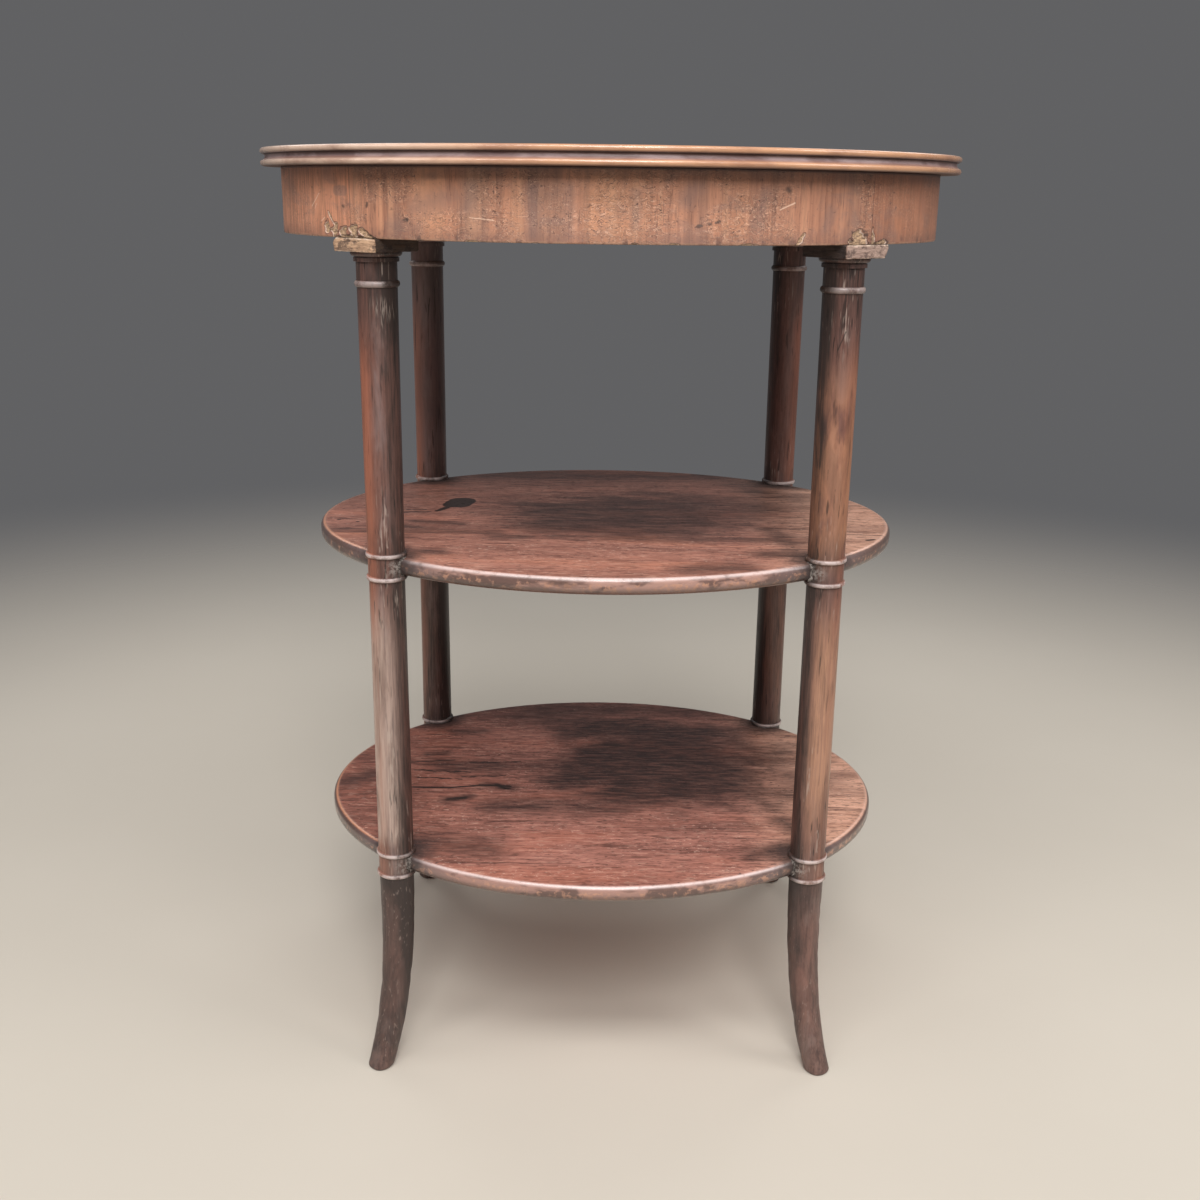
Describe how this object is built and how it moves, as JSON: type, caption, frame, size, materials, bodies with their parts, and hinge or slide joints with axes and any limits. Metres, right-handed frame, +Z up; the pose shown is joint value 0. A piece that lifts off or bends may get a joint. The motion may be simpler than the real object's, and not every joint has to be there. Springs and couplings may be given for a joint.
{
  "type": "tiered side table",
  "caption": "Oval wooden side table with a moulded top, veneered apron, turned columns on sabre feet and oval shelves.",
  "frame": {"origin": "on the floor under the middle of the oval top", "axes": "+Z up; +X right along the top's long axis; +Y to the rear along its short axis"},
  "size_m": [0.557, 0.473, 0.7401],
  "materials": {
    "top_mahogany": "worn polish",
    "apron_veneer": "worn polish, chipped",
    "core_softwood": "raw",
    "abacus_wood": "worn, chipped",
    "column_mahogany": "dark patina",
    "foot_mahogany": "dark patina",
    "shelf_mahogany": "worn polish, stained"
  },
  "bodies": {
    "root": {"abacus_front_left": "abacus_wood", "abacus_front_right": "abacus_wood", "abacus_rear_left": "abacus_wood", "abacus_rear_right": "abacus_wood", "apron_core_front": "core_softwood", "apron_core_left": "core_softwood", "apron_core_rear": "core_softwood", "apron_core_right": "core_softwood", "apron_veneer_front": "apron_veneer", "apron_veneer_left": "apron_veneer", "apron_veneer_rear": "apron_veneer", "apron_veneer_right": "apron_veneer", "column_front_left": "column_mahogany", "column_front_right": "column_mahogany", "column_rear_left": "column_mahogany", "column_rear_right": "column_mahogany", "foot_front_left": "foot_mahogany", "foot_front_right": "foot_mahogany", "foot_rear_left": "foot_mahogany", "foot_rear_right": "foot_mahogany", "low_shelf_board": "shelf_mahogany", "mid_shelf_front_board": "shelf_mahogany", "mid_shelf_rear_board": "shelf_mahogany", "table_top": "top_mahogany"}
  },
  "joints": []
}
